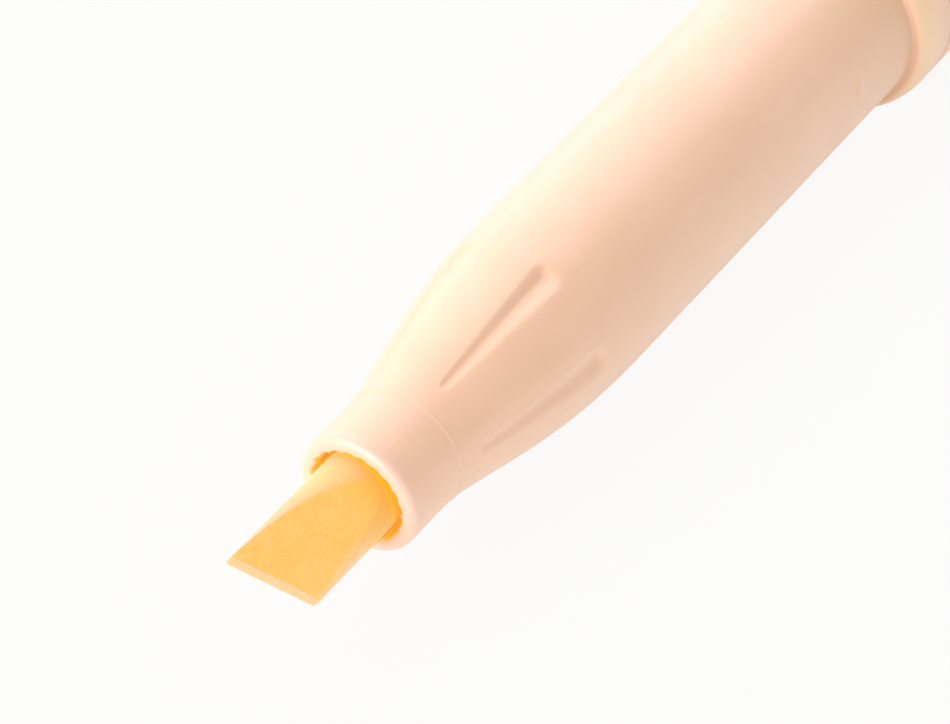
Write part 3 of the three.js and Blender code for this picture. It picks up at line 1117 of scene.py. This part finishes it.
@dataclass
class Cap(SubAssembly):
    """The posted cap: shell, moulded clip, and the friction rubber in its end."""

    rim: float = 99.6
    radius: float = 5.635
    taper: float = 0.4
    bore: float = 4.975
    bore_taper: float = 0.11
    seat: float = 37.5
    seat_gap: float = 0.05
    liner_bore: float = 4.22
    web: float = 50.538
    socket_floor: float = 51.738
    end: float = 57.238
    end_round: float = 1.0
    socket_radius: float = 2.55
    edge: float = 0.3
    fine_edge: float = 0.1
    ring: float = 6.225
    ring_half: float = 0.35
    ring_height: float = 0.08
    clip_width: float = 4.2
    clip_thickness: float = 1.45
    clip_length: float = 42.0
    clip_gap: float = 1.6
    clip_set_back: float = 2.2
    clip_root: float = 5.0
    clip_sink: float = 0.36
    clip_ball: float = 1.0
    clip_edge: float = 0.35
    clip_turn: float = 206.35265
    rubber_radius: float = 3.6
    rubber_height: float = 3.59
    rubber_round: float = 1.5
    stem_radius: float = 2.5
    stem_length: float = 5.2
    gap: float = 0.1
    shell_columns: int = 192
    rubber_columns: int = 160

    def outer(self, depth: np.ndarray | float) -> np.ndarray | float:
        """The shell's outside radius, an even taper from rim to end."""
        return self.radius - self.taper * depth / self.end

    def inner(self, depth: float) -> float:
        """The bore's radius, an even taper from the rim to the inner cap's seat."""
        return self.bore - self.bore_taper * depth / self.seat

    def shell(self, plastic: bpy.types.Material) -> None:
        """Builds the shell, with the ring inside that passes the snap bumps.

        Formula: at a share q of its half length from its middle, the ring stands height cos^2(q pi / 2)
        inwards from the bore.

        Args:
            plastic: its finish.
        """
        half, fine, ring = self.edge / 2, self.fine_edge, self.ring
        liner_end = self.seat + self.seat_gap
        share = np.linspace(1, -1, 9)
        swell = self.ring_height * np.cos(share * np.pi / 2) ** 2
        depths = np.linspace(2, self.end - self.end_round - 1, 20)
        profile = run(
            (self.web, 0),
            (self.web, self.liner_bore),
            (liner_end, self.liner_bore),
            (liner_end, self.inner(self.seat)),
            pairs(ring + share * self.ring_half, self.inner(ring) - swell),
            (self.edge, self.inner(self.edge)),
            (0, self.bore + half),
            arc(half, self.radius - half, half, 180, 90, 6),
            pairs(depths, self.outer(depths)),
            arc(self.end - self.end_round, self.outer(self.end) - self.end_round, self.end_round, 90, 0, 12),
            arc(self.end - fine, self.socket_radius + fine, fine, 0, -90, 3)[1:],
            (self.socket_floor, self.socket_radius),
            (self.socket_floor, 0),
        )
        profile[:, 0] += self.rim
        turns = even_turns(self.shell_columns)
        self.settle(revolve("cap_moulding", profile, turns, plastic), Slot.CAP, "cap_shell")

    def clip_outline(self) -> np.ndarray:
        """The clip's side view, anticlockwise.

        Formula: straight runs joined by arcs; the inner corner at the root is a quarter of an ellipse.

        Returns:
            Points as (depth, radius).
        """
        root_end = self.end - self.clip_set_back
        root_start = root_end - self.clip_root
        tip = root_end - self.clip_length
        inner = self.radius + self.clip_gap
        outer, half = inner + self.clip_thickness, self.clip_thickness / 2
        foot = self.outer(root_end) - self.clip_sink
        ball = tip + half + self.clip_ball
        curve = np.radians(np.linspace(90, 0, 8))
        fillet = pairs(
            root_start - self.clip_gap + self.clip_gap * np.cos(curve),
            self.outer(root_start) + (inner - self.outer(root_start)) * np.sin(curve),
        )
        return run(
            (root_end, foot),
            arc(root_end - self.clip_thickness, inner, self.clip_thickness, 0, 90, 10),
            arc(tip + half, (inner + outer) / 2, half, 90, 270, 12),
            arc(ball, inner, self.clip_ball, 180, 360, 16),
            fillet,
            (root_start, foot),
        )

    def clip(self, plastic: bpy.types.Material) -> None:
        """Builds the clip: its outline carried across its width, with rounded edges.

        Formula: a ring at a distance s to the side is the outline drawn in by edge (1 - cos a) along its
        normals, where s is the flat half width plus edge sin a. A point at (depth, radius) of a ring lies
        at the clip's turn, at that radius outwards and s round the axis.

        Args:
            plastic: its finish.
        """
        outline, turn = self.clip_outline(), math.radians(self.clip_turn)
        ahead = np.roll(outline, -1, 0) - np.roll(outline, 1, 0)
        outward = np.stack([ahead[:, 1], -ahead[:, 0]], -1) / np.linalg.norm(ahead, axis=1, keepdims=True)
        angle = np.radians(np.linspace(0, 90, 7))
        flat = self.clip_width / 2 - self.clip_edge
        right = flat + self.clip_edge * np.sin(angle)
        inset = self.clip_edge * (1 - np.cos(angle))
        across = np.concatenate([-right[::-1], right])
        inset = np.concatenate([inset[::-1], inset])
        side = outline[None] - inset[:, None, None] * outward[None]
        out, along = side[..., 1], side[..., 0] + self.rim
        y = out * math.cos(turn) - across[:, None] * math.sin(turn)
        z = out * math.sin(turn) + across[:, None] * math.cos(turn)
        points = np.stack([along, y, z], -1) * MM + np.array(PEN.rim)
        rows, columns = points.shape[:2]
        last = (rows - 1) * columns
        faces = [
            closed_grid(rows, columns, False),
            np.arange(columns)[None, ::-1],
            np.arange(last, last + columns)[None],
        ]
        self.settle(mesh_piece("clip_moulding", points, faces, plastic), Slot.CAP, "cap_shell")

    def rubber(self, rubber: bpy.types.Material) -> None:
        """Builds the friction rubber: a domed head and the stem in its socket.

        Args:
            rubber: its finish.
        """
        start = self.rim + self.end + self.gap
        top, fine, dome = start + self.rubber_height, self.fine_edge, self.rubber_round
        profile = run(
            (start - self.stem_length, 0),
            (start - self.stem_length, self.stem_radius - self.edge),
            (start - self.stem_length + self.edge, self.stem_radius),
            (start, self.stem_radius),
            arc(start + fine, self.rubber_radius - fine, fine, 180, 90, 4),
            arc(top - dome, self.rubber_radius - dome, dome, 90, 0, 14),
            (top, 0),
        )
        turns = even_turns(self.rubber_columns)
        self.settle(revolve("eraser_rubber", profile, turns, rubber), Slot.RUBBER, "eraser")

    def build(self, plastic: bpy.types.Material, rubber: bpy.types.Material) -> None:
        """Builds shell, clip and rubber.

        Args:
            plastic: the shell's and the clip's finish.
            rubber: the eraser's.
        """
        self.shell(plastic)
        self.clip(plastic)
        self.rubber(rubber)


@dataclass(frozen=True)
class SoftLight:
    """A square soft light. Its distance, from a point on the nose, and its side are in metres."""

    name: str
    toward: Triple
    tint: Triple
    distance: float
    side: float
    watts: float
    seen: bool = True
    aim: float = 0.02

    def hang(self) -> None:
        """Hangs the light so that it faces the nose. Camera and mirror rays pass one that isn't seen."""
        data = bpy.data.lights.new(self.name, "AREA")
        data.shape, data.size, data.energy, data.color = "SQUARE", self.side, self.watts, self.tint
        lamp = bpy.data.objects.new(self.name, data)
        away = Vector(self.toward).normalized()
        lamp.location = PEN.rim + Vector((self.aim, 0, 0)) + away * self.distance
        lamp.rotation_mode = "QUATERNION"
        lamp.rotation_quaternion = away.to_track_quat("Z", "Y")
        lamp.visible_camera = lamp.visible_glossy = self.seen
        bpy.context.scene.collection.objects.link(lamp)


@dataclass
class Studio:
    """Camera, floor and soft light. The camera's directions and place are fitted to the photograph."""

    focal_pixels: float = 3800.0
    image_width: int = 950
    sensor: float = 36.0
    ahead: Triple = (0.6225, 0.4078, -0.668)
    above: Triple = (0.5588, 0.366, 0.7442)
    beside: Triple = (0.548, -0.8365, 0.0)
    rim_in_view: Triple = (-5.087, -5.742, 161.702)
    view_range: tuple[float, float] = (0.02, 20.0)
    floor_half: float = 3.0
    floor_card: Triple = (246, 245, 243)
    floor_plain: Triple = (252, 252, 251)
    plain_to_camera: float = 0.95
    plain_to_mirrors: float = 0.6
    backdrop: Triple = (251, 251, 250)
    surround: float = 1.15
    surround_tint: Triple = (1.0, 0.985, 0.965)
    dark_depth: float = 0.7
    dark_toward: Triple = (-0.1, -0.84, 0.55)
    low_light_gap: float = 0.2

    def camera(self) -> None:
        """Stands the camera so that the rim's middle lies where the photograph has it.

        Formula: the camera is the rim less its right, up and forward parts along the camera's own axes.
        """
        ahead, above, beside = (Vector(v).normalized() for v in (self.ahead, self.above, self.beside))
        right, up, depth = (c * MM for c in self.rim_in_view)
        data = bpy.data.cameras.new("photograph_view")
        data.sensor_width = self.sensor
        data.lens = self.focal_pixels / self.image_width * self.sensor
        data.clip_start, data.clip_end = self.view_range
        camera = bpy.data.objects.new("photograph_view", data)
        turn = Matrix((beside, above, -ahead)).transposed().to_4x4()
        camera.matrix_world = Matrix.Translation(PEN.rim - right * beside - up * above - depth * ahead) @ turn
        bpy.context.scene.collection.objects.link(camera)
        bpy.context.scene.camera = camera

    def floor(self) -> None:
        """Lays the pale floor. To the camera it is mostly plain white, and keeps a soft shadow."""
        graph = Graph("pale_floor")
        camera, mirrors = graph.ray("Is Camera Ray"), graph.ray("Is Glossy Ray")
        share = camera * self.plain_to_camera + mirrors * self.plain_to_mirrors
        card = graph.node("ShaderNodeBsdfDiffuse", {}, {"Color": linear(*self.floor_card)})
        plain = graph.node("ShaderNodeEmission", {}, {"Color": linear(*self.floor_plain), "Strength": 1.0})
        graph.surface(graph.node("ShaderNodeMixShader", {}, {0: share, 1: card, 2: plain}))
        half = self.floor_half
        corners = np.array([(-half, -half, 0), (half, -half, 0), (half, half, 0), (-half, half, 0)], float)
        floor = mesh_piece("floor", corners, [np.array([[0, 1, 2, 3]])], graph.material)

    def light(self) -> None:
        """Lights the pen from the upper left, the front and below, in a pale surround with a dark side."""
        low = PEN.rim.z - self.low_light_gap * MM
        lights = (
            SoftLight("back_left_softbox", (0.7, 0.52, 0.52), (0.91, 0.82, 1.0), 0.6, side=0.9, watts=1.6),
            SoftLight("front_fill", (-1.0, 0.3, 0.35), (0.97, 0.9, 1.0), 0.6, side=0.5, watts=2.4),
            SoftLight("low_bounce", (0, 0, -1), (1.0, 0.94, 0.84), low, side=0.3, watts=0.045, seen=False),
        )
        for light in lights:
            light.hang()
        world = bpy.data.worlds.new("surround")
        bpy.context.scene.world = world
        graph = Graph("surround", world)
        way = graph.node("ShaderNodeTexCoord", {}, {}, "Generated")
        facing = graph.dot(way, tuple(Vector(self.dark_toward).normalized()))
        strength = self.surround - facing.step(0.15, 0.95) * self.dark_depth
        tint = (*self.surround_tint, 1)
        soft = graph.node("ShaderNodeBackground", {}, {"Color": tint, "Strength": strength})
        plain = graph.node("ShaderNodeBackground", {}, {"Color": linear(*self.backdrop), "Strength": 1.0})
        direct = graph.ray("Is Camera Ray") + graph.ray("Is Transmission Ray")
        graph.surface(graph.node("ShaderNodeMixShader", {}, {0: direct, 1: soft, 2: plain}))

    def build(self) -> None:
        """Sets the view, the floor and the light."""
        bpy.context.scene.view_settings.view_transform = "Standard"
        self.camera()
        self.floor()
        self.light()


def main() -> None:
    """Builds the studio and the pieces in order."""
    logging.basicConfig(level=logging.INFO, format="%(message)s")
    Studio().build()
    apricot, shade = (253, 207, 171), (250, 202, 165)
    milky, milky_shade = (240, 232, 218), (234, 225, 210)
    body = MouldedPlastic("apricot_plastic", apricot, shade).build()
    nose = StainedPlastic(
        "apricot_plastic_inked", apricot, shade, roughness=0.5, coat=0.0, scatter=1.0, reach=2.0,
    ).build()
    nib = Nib(Body.BARREL)
    nib.build(InkedFelt("inked_felt", nib.radius, nib.reach, nib.edge_plane()).build())
    FrontSection(Body.BARREL).build(body, nose)
    barrel = Barrel(Body.BARREL)
    barrel.build(body)
    barrel.dress("reservoir_core", WovenFibre("inked_fibre").build())
    barrel.dress("reservoir_film", ThinFilm("wrap_film").build())
    cap = Cap(Body.CAP)
    cap_body = MouldedPlastic("apricot_cap_plastic", apricot, shade).build()
    cap.build(cap_body, Rubber("milky_rubber").build())
    liner = MouldedPlastic("milky_liner", milky, milky_shade, roughness=0.5, coat=0.0)
    cap.dress("inner_cap", liner.build())


if __name__ == "__main__":
    main()
